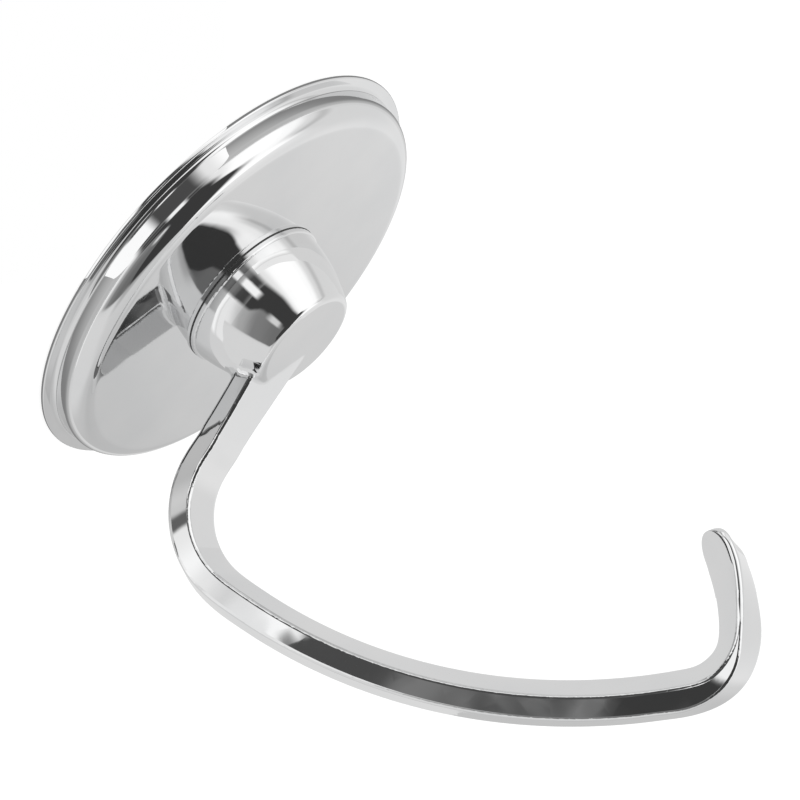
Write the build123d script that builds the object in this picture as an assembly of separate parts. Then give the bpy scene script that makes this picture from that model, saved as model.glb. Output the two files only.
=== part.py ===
"""Dough hook for a stand mixer: a polished steel casting with a pressed guard disc.

Frame: the origin is the centre of the drive bore's mouth, which lies in the plane of the disc's
flange. +Z runs along the drive axis towards the hook, and the hook's centreline lies in the XZ plane.
"""
import os
from math import atan2, cos, degrees, radians, sin, tan

from build123d import *

# Guard disc, pressed from sheet
dish_diameter = 99.2
dish_depth = 8.7
flange_width = 2.9
sheet = 1.0
dish_corner_radius = 4.5
flange_root_radius = 1.2
sheet_edge_share = 0.4

# Hub of the casting, seated on the disc
hub_diameter = 36.6
hub_band_height = 1.4
hub_step = 0.5
hub_height = 17.0
hub_front_diameter = 25.0
hub_bulge = 0.9
hub_front_rounding = 1.8
hub_step_rounding = 0.4

# Spigot through the disc, rolled over behind it
spigot_diameter = 24.0
spigot_clearance = 0.05
rolled_lip = 1.6
spigot_chamfer = 0.8

# Drive socket for a shaft with a cross pin
bore_diameter = 12.9
bore_depth = 20.0
pin_slot_width = 4.8
pin_slot_reach = 3.0
pin_slot_depth = 11.0
pin_lock_angle = 40.0

# Centreline of the hook: a straight arm, then four tangent arcs
arm_inset = 5.9
arm_droop = 11.9
arm_run = 34.8
bend_radius = 21.2
bend_heading = 97.5
sweep_radius = 128.2
sweep_heading = 144.0
toe_bend_radius = 12.6
toe_heading = 218.7
toe_length = 23.4
toe_radius = 44.1

# Section of the bar: a trapezium with rounded corners, narrow at the front
bar_depth = 10.0
bar_front_width = 5.0
bar_back_width = 10.4
bar_front_rounding = 0.9
bar_back_rounding = 1.4
rounding_share = 0.9
root_front_width = 4.0
root_flare = 1.3
root_reach = 28.0
root_fillet = 2.6

# Toe: the front narrows to a ridge and the end is rounded
toe_depth = 9.0
toe_front_width = 1.2
toe_back_width = 9.7
tip_rounding = 7.2
tip_angle = 78.0

# Roll of the section about the centreline
roll_at_root = 5.8
roll_after_bend = 2.4
roll_after_sweep = 12.8
roll_at_toe = 3.3
roll_at_tip = 23.2

# Sections that the bar is drawn through, at its root, along its length and round its tip
root_stations = 4
bar_stations = 32
tip_stations = 5

dish_radius = dish_diameter / 2
flange_radius = dish_radius + flange_width
spigot_radius = spigot_diameter / 2
bore_radius = bore_diameter / 2
hub_front = dish_depth + hub_height
arm_height = hub_front - arm_inset


def guard_disc():
    """Shallow dish with a flat flange round its open side and a hole for the spigot."""
    hole_radius = spigot_radius + spigot_clearance
    inner_radius = dish_radius - sheet
    outline = [
        (hole_radius, dish_depth),
        (dish_radius, dish_depth),
        (dish_radius, sheet),
        (flange_radius, sheet),
        (flange_radius, 0),
        (inner_radius, 0),
        (inner_radius, dish_depth - sheet),
        (hole_radius, dish_depth - sheet),
    ]
    section = make_face(Polyline(*outline, close=True))

    def round_corner(face, index, radius):
        corner = face.vertices().sort_by_distance((*outline[index], 0))[0]
        return fillet(corner, radius)

    section = round_corner(section, 1, dish_corner_radius)
    section = round_corner(section, 6, dish_corner_radius - sheet)
    section = round_corner(section, 2, flange_root_radius)
    section = round_corner(section, 5, flange_root_radius + sheet)
    section = round_corner(section, 3, sheet_edge_share * sheet)
    section = round_corner(section, 4, sheet_edge_share * sheet)
    return revolve(Plane.XZ * section, Axis.Z)


def hub():
    """Turned shape of the hub: base band, step, convex cone, and the spigot behind the disc."""
    band_radius = hub_diameter / 2
    cone_radius = band_radius - hub_step
    cone_foot = (cone_radius, dish_depth + hub_band_height)
    cone_top = (hub_front_diameter / 2, hub_front)
    back_face = dish_depth - sheet
    lip_radius = spigot_radius + rolled_lip
    lines = [
        Line((0, 0), (spigot_radius - spigot_chamfer, 0)),
        Line((spigot_radius - spigot_chamfer, 0), (spigot_radius, spigot_chamfer)),
        Line((spigot_radius, spigot_chamfer), (spigot_radius, back_face - rolled_lip)),
        RadiusArc((spigot_radius, back_face - rolled_lip), (lip_radius, back_face), rolled_lip),
        Line((lip_radius, back_face), (spigot_radius, back_face)),
        Line((spigot_radius, back_face), (spigot_radius, dish_depth)),
        Line((spigot_radius, dish_depth), (band_radius, dish_depth)),
        Line((band_radius, dish_depth), (band_radius, dish_depth + hub_band_height)),
        Line((band_radius, dish_depth + hub_band_height), cone_foot),
        SagittaArc(cone_foot, cone_top, -hub_bulge),
        Line(cone_top, (0, hub_front)),
        Line((0, hub_front), (0, 0)),
    ]
    section = make_face(lines)
    front_edge = section.vertices().sort_by_distance((*cone_top, 0))[0]
    section = fillet(front_edge, hub_front_rounding)
    band_edge = section.vertices().sort_by_distance((band_radius, dish_depth + hub_band_height, 0))[0]
    section = fillet(band_edge, hub_step_rounding)
    return revolve(Plane.XZ * section, Axis.Z)


def drive_socket():
    """Blind bore with a slot for the cross pin and a lock pocket at the slot's end."""
    bore = extrude(Circle(bore_radius), bore_depth)
    slot_radius = bore_radius + pin_slot_reach
    slot = Pos(0, -pin_slot_width / 2, 0) * Box(
        slot_radius, pin_slot_width, pin_slot_depth, align=(Align.MIN, Align.MIN, Align.MIN)
    )
    pocket_floor = pin_slot_depth - pin_slot_width
    pocket = Pos(0, 0, pocket_floor) * Cylinder(
        slot_radius, pin_slot_width, arc_size=pin_lock_angle, align=(Align.CENTER, Align.CENTER, Align.MIN)
    )
    return bore + slot + pocket


def hook_centreline():
    """Tangent chain in the plane of the hook, with x along X and y along Z."""
    run_end = (arm_run * cos(radians(arm_droop)), arm_height + arm_run * sin(radians(arm_droop)))
    run = Line((0, arm_height), run_end)
    bend = JernArc(run @ 1, run % 1, bend_radius, bend_heading - arm_droop)
    sweep = JernArc(bend @ 1, bend % 1, sweep_radius, sweep_heading - bend_heading)
    toe_bend = JernArc(sweep @ 1, sweep % 1, toe_bend_radius, toe_heading - sweep_heading)
    toe = JernArc(toe_bend @ 1, toe_bend % 1, toe_radius, degrees(toe_length / toe_radius))
    return [run, bend, sweep, toe_bend, toe]


def blend(start, end, share):
    """Value between start and end, eased in and out as share goes from 0 to 1."""
    share = min(max(share, 0), 1)
    return start + (end - start) * share * share * (3 - 2 * share)


def bar_section(place, heading, roll, depth, front_width, back_width):
    """Rounded trapezium across the bar: local x points out of the C, local y to the back."""
    forward = Vector(cos(radians(heading)), 0, sin(radians(heading)))
    outward = Vector(sin(radians(heading)), 0, -cos(radians(heading)))
    rolled = outward * cos(radians(roll)) + Vector(0, 1, 0) * sin(radians(roll))
    plane = Plane(origin=place, x_dir=rolled, z_dir=forward)
    half_front = front_width / 2
    half_back = back_width / 2
    corners = [
        (-half_back, depth / 2),
        (-half_front, -depth / 2),
        (half_front, -depth / 2),
        (half_back, depth / 2),
    ]
    section = make_face(Polyline(*corners, close=True))
    half_angle = atan2(depth, half_back - half_front) / 2
    front_limit = half_front / tan(half_angle)
    back_limit = half_back * tan(half_angle)
    front_corners = section.vertices().sort_by(Axis.Y)[:2]
    section = fillet(front_corners, min(bar_front_rounding, rounding_share * front_limit))
    back_corners = section.vertices().sort_by(Axis.Y)[-2:]
    section = fillet(back_corners, min(bar_back_rounding, rounding_share * back_limit))
    return plane * section


def bar():
    """Two lofts along the centreline: the flared root from inside the hub, and the rest to the tip."""
    pieces = hook_centreline()
    path = Wire(pieces)
    lengths = [piece.length for piece in pieces]
    bend_end = lengths[0] + lengths[1]
    sweep_end = bend_end + lengths[2]
    toe_start = sweep_end + lengths[3]
    whole = path.length

    def section_at(distance, shrink):
        point = path.position_at(distance / whole)
        tangent = path.tangent_at(distance / whole)
        heading = Vector(1, 0, 0).get_signed_angle(tangent, Vector(0, 0, 1))
        flare = blend(root_flare, 1, distance / root_reach)
        taper = (distance - sweep_end) / (whole - sweep_end)
        depth = blend(bar_depth, toe_depth, taper) * flare
        back = blend(bar_back_width, toe_back_width, taper)
        narrowing = min(max((distance - sweep_end) / (toe_start - sweep_end), 0), 1)
        front = blend(root_front_width, bar_front_width, distance / bend_end)
        front = front + (toe_front_width - front) * narrowing
        roll = blend(roll_at_root, roll_after_bend, distance / bend_end)
        roll = blend(roll, roll_after_sweep, (distance - bend_end) / (sweep_end - bend_end))
        roll = blend(roll, roll_at_toe, (distance - sweep_end) / (toe_start - sweep_end))
        roll = blend(roll, roll_at_tip, (distance - toe_start) / (whole - toe_start))
        place = Vector(point.X, 0, point.Y)
        return bar_section(place, heading, roll, depth * shrink, front * shrink, back * shrink)

    root = [section_at(root_reach * i / root_stations, 1) for i in range(root_stations + 1)]
    straight_length = whole - tip_rounding - root_reach
    rest = [section_at(root_reach + straight_length * i / bar_stations, 1) for i in range(bar_stations + 1)]
    for i in range(1, tip_stations + 1):
        angle = radians(tip_angle * i / tip_stations)
        rest.append(section_at(whole - tip_rounding * (1 - sin(angle)), cos(angle)))
    return loft(root), loft(rest)


def hook():
    """The casting: hub, spigot and bar in one piece, with the drive socket cut from behind."""
    turned = hub()
    root, rest = bar()
    casting = turned + root
    casting = fillet(new_edges(turned, root, combined=casting), root_fillet)
    return casting + rest - drive_socket()


os.makedirs("parts", exist_ok=True)
export_step(guard_disc(), "parts/guard_disc.step")
export_step(hook(), "parts/hook.step")
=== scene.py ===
from math import cos, pi, radians, sin

import bmesh
import bpy
from mathutils import Matrix, Vector


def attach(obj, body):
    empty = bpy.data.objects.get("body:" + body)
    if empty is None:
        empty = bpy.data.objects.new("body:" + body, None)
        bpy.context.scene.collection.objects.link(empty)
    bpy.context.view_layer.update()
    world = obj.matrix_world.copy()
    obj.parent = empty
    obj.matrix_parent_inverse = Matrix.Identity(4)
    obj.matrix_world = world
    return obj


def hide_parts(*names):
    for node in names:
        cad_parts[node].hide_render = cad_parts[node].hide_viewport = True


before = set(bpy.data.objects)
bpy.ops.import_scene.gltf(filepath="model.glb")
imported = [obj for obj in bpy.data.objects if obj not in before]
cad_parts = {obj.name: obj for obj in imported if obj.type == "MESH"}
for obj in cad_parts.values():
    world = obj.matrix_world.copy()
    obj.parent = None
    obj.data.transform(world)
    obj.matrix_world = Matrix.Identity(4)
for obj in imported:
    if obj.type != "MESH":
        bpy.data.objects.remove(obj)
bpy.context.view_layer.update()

# Camera: the tool stands on its flange, and the picture is turned in the frame
camera_place = Vector((-0.0048, -0.4507, 0.1971))
camera_right = Vector((-0.6812, 0.2267, 0.6961))
camera_up = Vector((-0.7321, -0.2110, -0.6477))
camera_lens = 100.0
camera_sensor = 36.0
camera_near = 0.01
camera_far = 20.0

# Guard disc, in metres
dish_radius = 0.0496
dish_depth = 0.0087
flange_radius = 0.0525
sheet = 0.001
hole_radius = 0.01205
dish_corner = 0.0045
flange_root = 0.0012
sheet_edge = 0.0004
flat_margin = 0.0006
corner_steps = 18
small_steps = 6
disc_steps = 288
sharp_angle = 40.0

# Ring of painted shadow in the seam where the hub sits on the disc, in metres
seam_inner = 0.0176
seam_outer = 0.01836
seam_foot = 0.00855
seam_top = 0.00892
seam_rounding = 0.00005
seam_rounding_steps = 3
seam_steps = 192

# Toe, in metres and degrees: its centreline is an arc in the plane of the hook.
# Its section tapers from the end of the sweep, toe_before ahead of the toe, to the tip.
toe_centre = Vector((0.01124, 0.0, 0.102693))
toe_radius = 0.0441
toe_heading = 218.7
toe_before = 0.0164
toe_length = 0.0234
toe_roll = 3.3
tip_roll = 23.2
bar_depth = 0.010
tip_depth = 0.009
bar_back_width = 0.0104
tip_back_width = 0.0097
toe_front_width = 0.0012
toe_front_corner = 0.00054
toe_back_corner = 0.0022
toe_corner_steps = 6
toe_side_cuts = 8
toe_side_length = 0.003

# End of the toe: where the casting is cut, and the rounded tongue that goes on from there
toe_cut = 0.009
tongue_rounding = 0.0054
outer_rounding = 0.0080
tongue_tip = 0.0232
tongue_roll = 17.0
straight_stations = 14
tip_stations = 20
tip_angle = 88.0

# Distances within which doubled points are merged, in metres
weld = 1e-6
spin_weld = 1e-7
fine_weld = 1e-8

# Height of the gentle waves that polishing leaves, in metres
disc_waves = 1.5e-5
hook_waves = 6e-5

# Polish: scale and detail of its three noises, and what the noise makes of roughness, colour and height
haze_scale = 45.0
haze_detail = 4.0
mark_scale = 1500.0
mark_detail = 3.0
wave_scale = 90.0
wave_detail = 1.0
haze_to_roughness = (0.40, 0.72, 0.018, 0.048)
marks_to_roughness = (0.50, 0.80, 0.0, 0.030)
haze_to_colour = (0.35, 0.70)
clear_steel = (0.82, 0.82, 0.82, 1.0)
hazy_steel = (0.77, 0.775, 0.78, 1.0)
mark_height = 3e-7
ring_drift = 0.02
bar_stretch = (0.06, 1.0, 0.06)

# Dark colour of the painted shadow in the seam, blotchy at random
seam_shadow_scale = 400.0
seam_shadow_detail = 3.0
seam_shadow_dark = (0.03, 0.03, 0.03, 1.0)
seam_shadow_pale = (0.12, 0.12, 0.12, 1.0)
seam_shadow_to_roughness = (0.3, 0.7, 0.45, 0.7)

# Floor: a round table top with an open slot towards the camera
floor_radius = 3.0
floor_level = -0.0001
slot_left = -24.0
slot_right = 23.0
floor_steps = 96
floor_colour = (0.42, 0.42, 0.42, 1.0)
floor_glow = 0.82
floor_front = (-0.015, -0.045)
# Floor glow that only mirrored rays see, by distance from the axis: painted light, with painted shadow next
# to the disc and a painted dark ring near 0.1 m in front
floor_front_rings = [
    (0.000, 0.25), (0.054, 0.25), (0.060, 0.58), (0.076, 0.56), (0.088, 0.72), (0.095, 0.68), (0.099, 0.14),
    (0.105, 0.14), (0.110, 0.98), (0.141, 1.16), (0.168, 0.97), (0.193, 0.81), (0.220, 0.97), (0.300, 0.97),
]
# Behind the disc too, the low glow next to it is painted shadow
floor_back_rings = [(0.000, 0.25), (0.054, 0.25), (0.064, 0.52), (0.085, 0.74), (0.110, 0.77), (0.300, 0.77)]

# Brightness of the light tent by azimuth in degrees: 0 is the camera's side and 90 is +X
tent_walls = [
    (-180, 0.74), (-170, 0.90), (-130, 0.81), (-106, 0.80), (-98, 0.62), (-90, 0.85),
    (-78, 1.20), (-62, 1.30), (-42, 1.22), (-30, 0.95), (-22, 0.75), (56, 0.75),
    (62, 0.80), (112, 0.80), (135, 0.64), (150, 0.58), (170, 0.60), (180, 0.74),
]
tent_roof = [
    (-180, 0.80), (-155, 0.90), (-120, 0.95), (-100, 1.30), (-72, 1.20), (-55, 0.40), (-40, 0.10),
    (0, 0.07), (45, 0.12), (62, 0.50), (80, 0.72), (150, 0.70), (180, 0.80),
]
roof_rise = (40.0, 56.0)

# White panel on the right of the camera, by elevation in degrees
panel_from = (0.0, 3.0)
panel_to = (54.0, 58.0)
panel_heights = [
    (-90, 1.25), (-8, 1.20), (0, 0.95), (10, 0.45), (20, 0.24), (36, 0.18), (60, 0.20), (90, 0.20),
]

# Dark opening at the camera: its sides in degrees of azimuth, and how they move with elevation
opening_heights = [
    (-90, 0.05), (-13, 0.08), (-9, 0.08), (-6, 0.22), (-3, 0.16),
    (0, 0.07), (5, 0.06), (7, 0.20), (9, 0.05), (90, 0.05),
]
opening_left = -21.0
opening_left_moves = [(5.0, 25.0, -7.0), (32.0, 52.0, -24.0)]
opening_right = 7.0
opening_right_moves = [(-14.5, -12.5, 14.0), (11.0, 20.0, -14.0), (38.0, 56.0, 44.0)]
left_blur = (-7.0, 3.0)
right_blur = (-3.0, 5.0)

# Small windows in the opening: left, right, low and high side in degrees, then brightness.
# All their sides are blurred alike.
windows = [(-8.0, -1.0, -2.0, 9.0, 1.10), (7.0, 13.0, 28.0, 32.0, 0.75)]
window_blur = 5.0


def new_object(name, shape):
    """Turns a bmesh into a linked object."""
    mesh = bpy.data.meshes.new(name)
    shape.to_mesh(mesh)
    shape.free()
    thing = bpy.data.objects.new(name, mesh)
    bpy.context.scene.collection.objects.link(thing)
    return thing


def node(tree, kind, **settings):
    """Adds a shader node and sets its own properties, such as operation."""
    made = tree.nodes.new("ShaderNode" + kind)
    for name, value in settings.items():
        setattr(made, name, value)
    return made


def feed(tree, socket, source):
    """Links a socket to another node's output, or sets it to a plain value."""
    if isinstance(source, bpy.types.NodeSocket):
        tree.links.new(source, socket)
    else:
        socket.default_value = source


def maths(tree, operation, first, second=0.0):
    made = node(tree, "Math", operation=operation)
    feed(tree, made.inputs[0], first)
    feed(tree, made.inputs[1], second)
    return made.outputs[0]


def span(tree, value, start, end, low=0.0, high=1.0, shape="LINEAR"):
    """Maps start to end onto low to high."""
    made = node(tree, "MapRange", interpolation_type=shape)
    feed(tree, made.inputs["Value"], value)
    made.inputs["From Min"].default_value = start
    made.inputs["From Max"].default_value = end
    made.inputs["To Min"].default_value = low
    made.inputs["To Max"].default_value = high
    return made.outputs["Result"]


def mixed(tree, share, first, second):
    made = node(tree, "Mix", data_type="RGBA")
    feed(tree, made.inputs["Factor"], share)
    feed(tree, made.inputs["A"], first)
    feed(tree, made.inputs["B"], second)
    return made.outputs["Result"]


def grey_ramp(tree, value, stops):
    """Colour ramp of greys over a value that runs from the first stop's place to the last one's."""
    first = stops[0][0]
    last = stops[-1][0]
    made = node(tree, "ValToRGB")
    ramp = made.color_ramp
    ramp.interpolation = "EASE"
    ramp.elements.remove(ramp.elements[1])
    for place, grey in stops[1:]:
        element = ramp.elements.new((place - first) / (last - first))
        element.color = (grey, grey, grey, 1.0)
    start = ramp.elements[0]
    start.position = 0.0
    start.color = (stops[0][1], stops[0][1], stops[0][1], 1.0)
    feed(tree, made.inputs["Fac"], span(tree, value, first, last))
    return made.outputs["Color"]


def add_camera():
    """Camera at the photo's viewpoint."""
    data = bpy.data.cameras.new("photo_camera")
    data.lens = camera_lens
    data.sensor_width = camera_sensor
    data.clip_start = camera_near
    data.clip_end = camera_far
    camera = bpy.data.objects.new("photo_camera", data)
    right = camera_right.normalized()
    back = right.cross(camera_up).normalized()
    up = back.cross(right)
    turn = Matrix((right, up, back)).transposed().to_4x4()
    camera.matrix_world = Matrix.Translation(camera_place) @ turn
    bpy.context.scene.collection.objects.link(camera)
    bpy.context.scene.camera = camera


def inside(tree, value, rise, fall):
    """1 between the end of rise and the start of fall, eased at both."""
    entered = span(tree, value, *rise, shape="SMOOTHSTEP")
    not_left = span(tree, value, *fall, 1.0, 0.0, shape="SMOOTHSTEP")
    return maths(tree, "MULTIPLY", entered, not_left)


def moving_side(tree, elevation, place, moves):
    """Azimuth of one side of the opening, which moves by a step over each span of elevation."""
    side = place
    for start, end, step in moves:
        side = maths(tree, "ADD", side, span(tree, elevation, start, end, 0.0, step, shape="SMOOTHSTEP"))
    return side


def light_tent():
    """White tent with a dark opening at the camera, which polished steel mirrors."""
    world = bpy.data.worlds.new("light_tent")
    world.use_nodes = True
    bpy.context.scene.world = world
    tree = world.node_tree
    tree.nodes.clear()
    direction = node(tree, "TexCoord")
    split = node(tree, "SeparateXYZ")
    feed(tree, split.inputs[0], direction.outputs["Generated"])
    forward = maths(tree, "MULTIPLY", split.outputs["Y"], -1.0)
    bearing = maths(tree, "ARCTAN2", split.outputs["X"], forward)
    azimuth = maths(tree, "DEGREES", bearing)
    elevation = maths(tree, "DEGREES", maths(tree, "ARCSINE", split.outputs["Z"]))
    tent = grey_ramp(tree, azimuth, tent_walls)
    panel = grey_ramp(tree, elevation, panel_heights)
    tent = mixed(tree, inside(tree, azimuth, panel_from, panel_to), tent, panel)
    roof = grey_ramp(tree, azimuth, tent_roof)
    tent = mixed(tree, span(tree, elevation, *roof_rise, shape="SMOOTHSTEP"), tent, roof)
    left_side = moving_side(tree, elevation, opening_left, opening_left_moves)
    right_side = moving_side(tree, elevation, opening_right, opening_right_moves)
    past_left = maths(tree, "SUBTRACT", azimuth, left_side)
    past_right = maths(tree, "SUBTRACT", azimuth, right_side)
    entered = span(tree, past_left, *left_blur, shape="SMOOTHSTEP")
    not_left = span(tree, past_right, *right_blur, 1.0, 0.0, shape="SMOOTHSTEP")
    opening = grey_ramp(tree, elevation, opening_heights)
    tent = mixed(tree, maths(tree, "MULTIPLY", entered, not_left), tent, opening)
    for left, right, low, high, grey in windows:
        across = inside(tree, azimuth, (left - window_blur, left), (right, right + window_blur))
        upward = inside(tree, elevation, (low - window_blur, low), (high, high + window_blur))
        tent = mixed(tree, maths(tree, "MULTIPLY", across, upward), tent, (grey, grey, grey, 1.0))
    seen = node(tree, "LightPath")
    glow = node(tree, "Background")
    feed(tree, glow.inputs["Color"], mixed(tree, seen.outputs["Is Camera Ray"], tent, (1.0, 1.0, 1.0, 1.0)))
    out = node(tree, "OutputWorld")
    feed(tree, out.inputs["Surface"], glow.outputs[0])


def floor_material():
    """Pale paper that keeps the shadow and shows from above only.

    Steel mirrors soft rings of painted light on it, which no other ray sees, with painted shadow next to the
    disc and a painted dark ring further out in front.
    """
    material = bpy.data.materials.new("pale_floor")
    material.use_nodes = True
    tree = material.node_tree
    tree.nodes.clear()
    where = node(tree, "TexCoord")
    distance = node(tree, "VectorMath", operation="LENGTH")
    feed(tree, distance.inputs[0], where.outputs["Object"])
    split = node(tree, "SeparateXYZ")
    feed(tree, split.inputs[0], where.outputs["Object"])
    front = span(tree, split.outputs["Y"], *floor_front, shape="SMOOTHSTEP")
    front_rings = grey_ramp(tree, distance.outputs["Value"], floor_front_rings)
    back_rings = grey_ramp(tree, distance.outputs["Value"], floor_back_rings)
    rings = mixed(tree, front, back_rings, front_rings)
    seen = node(tree, "LightPath")
    mirrored = maths(tree, "MAXIMUM", seen.outputs["Is Glossy Ray"], seen.outputs["Is Transmission Ray"])
    paper = node(tree, "BsdfDiffuse")
    feed(tree, paper.inputs["Color"], mixed(tree, mirrored, floor_colour, (0.0, 0.0, 0.0, 1.0)))
    ring_glow = maths(tree, "MULTIPLY", rings, mirrored)
    plain_glow = maths(tree, "MULTIPLY", seen.outputs["Is Camera Ray"], floor_glow)
    glow = node(tree, "Emission")
    feed(tree, glow.inputs["Strength"], maths(tree, "MAXIMUM", ring_glow, plain_glow))
    both = node(tree, "AddShader")
    feed(tree, both.inputs[0], paper.outputs[0])
    feed(tree, both.inputs[1], glow.outputs[0])
    below = node(tree, "NewGeometry")
    clear = node(tree, "BsdfTransparent")
    one_sided = node(tree, "MixShader")
    feed(tree, one_sided.inputs[0], below.outputs["Backfacing"])
    feed(tree, one_sided.inputs[1], both.outputs[0])
    feed(tree, one_sided.inputs[2], clear.outputs[0])
    out = node(tree, "OutputMaterial")
    feed(tree, out.inputs["Surface"], one_sided.outputs[0])
    return material


def add_floor():
    """Round floor, spun from one spoke, that leaves the slot open."""
    shape = bmesh.new()
    centre = shape.verts.new((0.0, 0.0, floor_level))
    edge = shape.verts.new((0.0, -floor_radius, floor_level))
    spoke = shape.edges.new((centre, edge))
    start = Matrix.Rotation(radians(slot_right), 4, "Z")
    bmesh.ops.transform(shape, matrix=start, verts=[centre, edge])
    sweep = radians(360.0 - slot_right + slot_left)
    bmesh.ops.spin(
        shape, geom=[centre, edge, spoke], cent=(0, 0, 0), axis=(0, 0, 1), dvec=(0, 0, 0),
        angle=sweep, steps=floor_steps, use_merge=False, use_duplicate=False,
    )
    bmesh.ops.remove_doubles(shape, verts=shape.verts[:], dist=weld)
    bmesh.ops.recalc_face_normals(shape, faces=shape.faces[:])
    facing_down = [face for face in shape.faces if face.normal.z < 0.0]
    bmesh.ops.reverse_faces(shape, faces=facing_down)
    floor = new_object("floor", shape)
    floor.data.materials.append(floor_material())


def polish_group():
    """Haze, wipe marks and gentle waves that every polished surface shares. Marks run along one way."""
    group = bpy.data.node_groups.new("polish", "ShaderNodeTree")
    face = group.interface
    face.new_socket("Place", in_out="INPUT", socket_type="NodeSocketVector")
    face.new_socket("Marks", in_out="INPUT", socket_type="NodeSocketVector")
    face.new_socket("Waves", in_out="INPUT", socket_type="NodeSocketFloat")
    face.new_socket("Roughness", in_out="OUTPUT", socket_type="NodeSocketFloat")
    face.new_socket("Colour", in_out="OUTPUT", socket_type="NodeSocketColor")
    face.new_socket("Height", in_out="OUTPUT", socket_type="NodeSocketFloat")
    given = group.nodes.new("NodeGroupInput")
    result = group.nodes.new("NodeGroupOutput")

    def noise(vector, scale, detail):
        made = node(group, "TexNoise")
        feed(group, made.inputs["Vector"], vector)
        made.inputs["Scale"].default_value = scale
        made.inputs["Detail"].default_value = detail
        return made.outputs["Fac"]

    haze = noise(given.outputs["Place"], haze_scale, haze_detail)
    marks = noise(given.outputs["Marks"], mark_scale, mark_detail)
    waves = noise(given.outputs["Place"], wave_scale, wave_detail)
    dull = span(group, haze, *haze_to_roughness)
    scuff = span(group, marks, *marks_to_roughness)
    feed(group, result.inputs["Roughness"], maths(group, "ADD", dull, scuff))
    tone = mixed(group, span(group, haze, *haze_to_colour), clear_steel, hazy_steel)
    feed(group, result.inputs["Colour"], tone)
    fine = maths(group, "MULTIPLY", marks, mark_height)
    broad = maths(group, "MULTIPLY", waves, given.outputs["Waves"])
    feed(group, result.inputs["Height"], maths(group, "ADD", fine, broad))
    return group


def steel(name, group, lay_marks, wave_height):
    """Mirror-polished steel. lay_marks makes the coordinates that the wipe marks follow."""
    material = bpy.data.materials.new(name)
    material.use_nodes = True
    tree = material.node_tree
    shader = tree.nodes["Principled BSDF"]
    shader.inputs["Metallic"].default_value = 1.0
    where = node(tree, "TexCoord")
    polish = node(tree, "Group", node_tree=group)
    feed(tree, polish.inputs["Place"], where.outputs["Object"])
    feed(tree, polish.inputs["Marks"], lay_marks(tree, where.outputs["Object"]))
    polish.inputs["Waves"].default_value = wave_height
    feed(tree, shader.inputs["Base Color"], polish.outputs["Colour"])
    feed(tree, shader.inputs["Roughness"], polish.outputs["Roughness"])
    bump = node(tree, "Bump")
    bump.inputs["Strength"].default_value = 1.0
    bump.inputs["Distance"].default_value = 1.0
    feed(tree, bump.inputs["Height"], polish.outputs["Height"])
    feed(tree, shader.inputs["Normal"], bump.outputs[0])
    return material


def marks_round_axis(tree, place):
    """Rings round the drive axis, as a polishing wheel leaves on a spinning disc."""
    split = node(tree, "SeparateXYZ")
    feed(tree, split.inputs[0], place)
    across = maths(tree, "MULTIPLY", split.outputs["X"], split.outputs["X"])
    along = maths(tree, "MULTIPLY", split.outputs["Y"], split.outputs["Y"])
    radius = maths(tree, "SQRT", maths(tree, "ADD", across, along))
    joined = node(tree, "CombineXYZ")
    feed(tree, joined.inputs["X"], radius)
    feed(tree, joined.inputs["Y"], maths(tree, "MULTIPLY", split.outputs["X"], ring_drift))
    feed(tree, joined.inputs["Z"], split.outputs["Z"])
    return joined.outputs[0]


def marks_along_bar(tree, place):
    """Long marks in the plane of the hook, as a belt leaves along the bar."""
    stretched = node(tree, "Mapping")
    feed(tree, stretched.inputs["Vector"], place)
    stretched.inputs["Scale"].default_value = bar_stretch
    return stretched.outputs[0]


def spin_profile(shape, steps):
    """Turns a flat profile face into a closed ring round the drive axis."""
    bmesh.ops.delete(shape, geom=shape.faces[:], context="FACES_ONLY")
    bmesh.ops.spin(
        shape, geom=shape.verts[:] + shape.edges[:], cent=(0, 0, 0), axis=(0, 0, 1), dvec=(0, 0, 0),
        angle=2 * pi, steps=steps, use_merge=True, use_duplicate=False,
    )
    bmesh.ops.remove_doubles(shape, verts=shape.verts[:], dist=spin_weld)
    bmesh.ops.recalc_face_normals(shape, faces=shape.faces[:])


def polished_disc(material):
    """Dish and flange spun from one rounded profile of the sheet."""
    inner = dish_radius - sheet
    under = dish_depth - sheet
    outline = [
        (hole_radius, dish_depth, 0.0, 0),
        (dish_radius - dish_corner - flat_margin, dish_depth, 0.0, 0),
        (dish_radius, dish_depth, dish_corner, corner_steps),
        (dish_radius, sheet, flange_root, small_steps),
        (flange_radius, sheet, sheet_edge, small_steps),
        (flange_radius, 0.0, sheet_edge, small_steps),
        (inner, 0.0, flange_root + sheet, small_steps),
        (inner, under, dish_corner - sheet, corner_steps),
        (dish_radius - dish_corner - flat_margin, under, 0.0, 0),
        (hole_radius, under, 0.0, 0),
    ]
    shape = bmesh.new()
    corners = [shape.verts.new((radius, 0.0, height)) for radius, height, rounding, steps in outline]
    shape.faces.new(corners)
    for corner, (radius, height, rounding, steps) in zip(corners, outline):
        if rounding > 0.0:
            bmesh.ops.bevel(
                shape, geom=[corner], offset=rounding, offset_type="OFFSET", segments=steps, profile=0.5,
                affect="VERTICES", material=-1,
            )
    spin_profile(shape, disc_steps)
    disc = new_object("polished_disc", shape)
    disc.data.shade_smooth()
    disc.data.set_sharp_from_angle(angle=radians(sharp_angle))
    disc.data.materials.append(material)
    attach(disc, "root")
    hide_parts("guard_disc")


def eased(start, end, share):
    """Value between start and end, eased in and out as share goes from 0 to 1."""
    share = min(max(share, 0.0), 1.0)
    return start + (end - start) * share * share * (3 - 2 * share)


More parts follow.
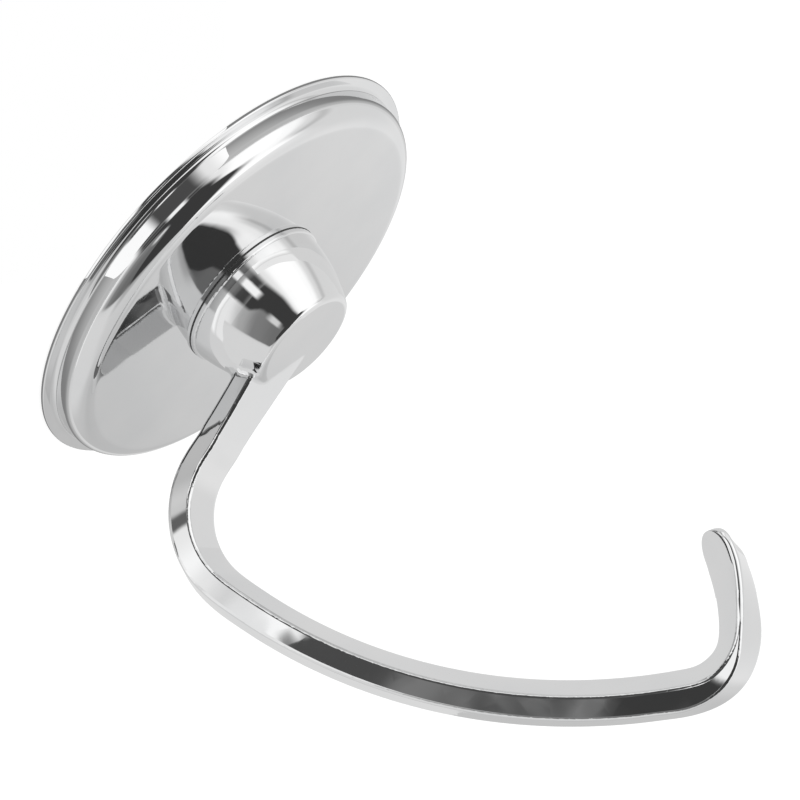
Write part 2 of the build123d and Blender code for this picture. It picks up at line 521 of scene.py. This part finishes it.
def toe_frame(distance):
    """Place on the toe's centreline and three directions: along it, out of the C, and to the back."""
    heading = radians(toe_heading) + distance / toe_radius
    roll = radians(min(eased(toe_roll, tip_roll, distance / toe_length), tongue_roll))
    outward = Vector((sin(heading), 0.0, -cos(heading)))
    forward = Vector((cos(heading), 0.0, sin(heading)))
    rolled = outward * cos(roll) + Vector((0.0, 1.0, 0.0)) * sin(roll)
    return toe_centre + outward * toe_radius, forward, rolled, forward.cross(rolled)


def toe_section(distance):
    """Depth, front half width and back half width of the toe."""
    taper = (toe_before + distance) / (toe_before + toe_length)
    depth = eased(bar_depth, tip_depth, taper)
    return depth, toe_front_width / 2, eased(bar_back_width, tip_back_width, taper) / 2


def half_width(distance, across):
    """Half of the toe's width at one place across its depth."""
    depth, half_front, half_back = toe_section(distance)
    return half_front + (half_back - half_front) * (across / depth + 0.5)


def rounded_end(distance, rounding):
    """Share of the section that is left near the tip, where an elliptic end draws it in."""
    inward = max(distance - (tongue_tip - rounding), 0.0) / rounding
    return max(1.0 - inward * inward, 0.0) ** 0.5


def cast_body(material):
    """Copy of the casting, merged and cut off square where the toe's end goes on."""
    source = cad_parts["hook"].data
    shape = bmesh.new()
    shape.from_mesh(source)
    kept = shape.loops.layers.float_vector.new("kept_normal")
    normals = [corner.vector.copy() for corner in source.corner_normals]
    number = 0
    for face in shape.faces:
        for loop in face.loops:
            loop[kept] = normals[number]
            number = number + 1
    bmesh.ops.remove_doubles(shape, verts=shape.verts[:], dist=weld)
    place, forward = toe_frame(toe_cut)[:2]
    toe_faces = [face for face in shape.faces if (face.calc_center_median() - place).length < toe_length]
    toe_edges = {edge for face in toe_faces for edge in face.edges}
    toe_verts = {vertex for face in toe_faces for vertex in face.verts}
    cut = bmesh.ops.bisect_plane(
        shape, geom=toe_faces + list(toe_edges) + list(toe_verts), dist=fine_weld,
        plane_co=place, plane_no=forward, clear_outer=True,
    )
    rim = [part for part in cut["geom_cut"] if isinstance(part, bmesh.types.BMEdge)]
    bmesh.ops.edgeloop_fill(shape, edges=rim)
    bmesh.ops.recalc_face_normals(shape, faces=shape.faces[:])
    body = new_object("cast_body", shape)
    mesh = body.data
    mesh.shade_smooth()
    mesh.normals_split_custom_set([spot.vector.copy() for spot in mesh.attributes["kept_normal"].data])
    mesh.attributes.remove(mesh.attributes["kept_normal"])
    mesh.materials.clear()
    mesh.materials.append(material)
    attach(body, "root")
    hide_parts("hook")


def toe_end(material):
    """End of the toe: its inner side runs on flat to a round tip, and its outer side is drawn in."""
    shape = bmesh.new()
    place, forward, rolled, back = toe_frame(toe_cut)
    depth, half_front, half_back = toe_section(toe_cut)
    outline = [
        (-half_back, depth / 2, toe_back_corner), (-half_front, -depth / 2, toe_front_corner),
        (half_front, -depth / 2, toe_front_corner), (half_back, depth / 2, toe_back_corner),
    ]
    corners = [shape.verts.new(place + rolled * x + back * y) for x, y, rounding in outline]
    shape.faces.new(corners)
    for corner, (x, y, rounding) in zip(corners, outline):
        bmesh.ops.bevel(
            shape, geom=[corner], offset=rounding, offset_type="OFFSET",
            segments=toe_corner_steps, profile=0.5, affect="VERTICES", material=-1,
        )
    sides = [edge for edge in shape.edges if edge.calc_length() > toe_side_length]
    bmesh.ops.subdivide_edges(shape, edges=sides, cuts=toe_side_cuts)
    section = shape.faces[:][0]
    spots = [((vertex.co - place).dot(rolled), (vertex.co - place).dot(back)) for vertex in section.verts]
    straight = tongue_tip - outer_rounding - toe_cut
    stations = [toe_cut + straight * i / straight_stations for i in range(1, straight_stations + 1)]
    for i in range(1, tip_stations + 1):
        stations.append(tongue_tip - outer_rounding * (1 - sin(radians(tip_angle * i / tip_stations))))
    first = section
    for distance in stations:
        grown = bmesh.ops.extrude_face_region(shape, geom=[section])["geom"]
        if section is not first:
            bmesh.ops.delete(shape, geom=[section], context="FACES_ONLY")
        section = [part for part in grown if isinstance(part, bmesh.types.BMFace)][0]
        place, forward, rolled, back = toe_frame(distance)
        new_depth = toe_section(distance)[0]
        for vertex, (x, y) in zip(section.verts, spots):
            across = y * new_depth / depth * rounded_end(distance, tongue_rounding)
            side = half_width(distance, across)
            share = (x / half_width(toe_cut, y) + 1.0) * rounded_end(distance, outer_rounding)
            out = side * (share - 1.0)
            vertex.co = place + rolled * out + back * across
    bmesh.ops.remove_doubles(shape, verts=shape.verts[:], dist=fine_weld)
    bmesh.ops.recalc_face_normals(shape, faces=shape.faces[:])
    tongue = new_object("toe_end", shape)
    tongue.data.shade_smooth()
    tongue.data.set_sharp_from_angle(angle=radians(sharp_angle))
    tongue.data.materials.append(material)
    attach(tongue, "root")


def seam_shadow_ring(material):
    """Thin dark ring of painted shadow in the joint round the foot of the hub."""
    shape = bmesh.new()
    outline = [
        (seam_inner, seam_foot), (seam_outer, seam_foot), (seam_outer, seam_top), (seam_inner, seam_top),
    ]
    corners = [shape.verts.new((radius, 0.0, height)) for radius, height in outline]
    shape.faces.new(corners)
    bmesh.ops.bevel(
        shape, geom=[corners[2]], offset=seam_rounding, offset_type="OFFSET",
        segments=seam_rounding_steps, profile=0.5, affect="VERTICES", material=-1,
    )
    spin_profile(shape, seam_steps)
    seam = new_object("seam_shadow_ring", shape)
    seam.data.shade_smooth()
    seam.data.set_sharp_from_angle(angle=radians(sharp_angle))
    seam.data.materials.append(material)
    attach(seam, "root")


def seam_shadow_material():
    """Dull dark colour of the painted shadow in the joint, blotchy at random."""
    material = bpy.data.materials.new("painted_seam_shadow")
    material.use_nodes = True
    tree = material.node_tree
    shader = tree.nodes["Principled BSDF"]
    where = node(tree, "TexCoord")
    blotches = node(tree, "TexNoise")
    feed(tree, blotches.inputs["Vector"], where.outputs["Object"])
    blotches.inputs["Scale"].default_value = seam_shadow_scale
    blotches.inputs["Detail"].default_value = seam_shadow_detail
    tone = mixed(tree, blotches.outputs["Fac"], seam_shadow_dark, seam_shadow_pale)
    feed(tree, shader.inputs["Base Color"], tone)
    feed(tree, shader.inputs["Roughness"], span(tree, blotches.outputs["Fac"], *seam_shadow_to_roughness))
    return material


add_camera()
light_tent()
add_floor()

polish = polish_group()
polished_disc(steel("disc_polish", polish, marks_round_axis, disc_waves))
# Dark ring at the hub's foot: a painted shadow in the seam
seam_shadow_ring(seam_shadow_material())
hook_polish = steel("hook_polish", polish, marks_along_bar, hook_waves)
cast_body(hook_polish)
toe_end(hook_polish)

bpy.context.scene.view_settings.view_transform = "Standard"
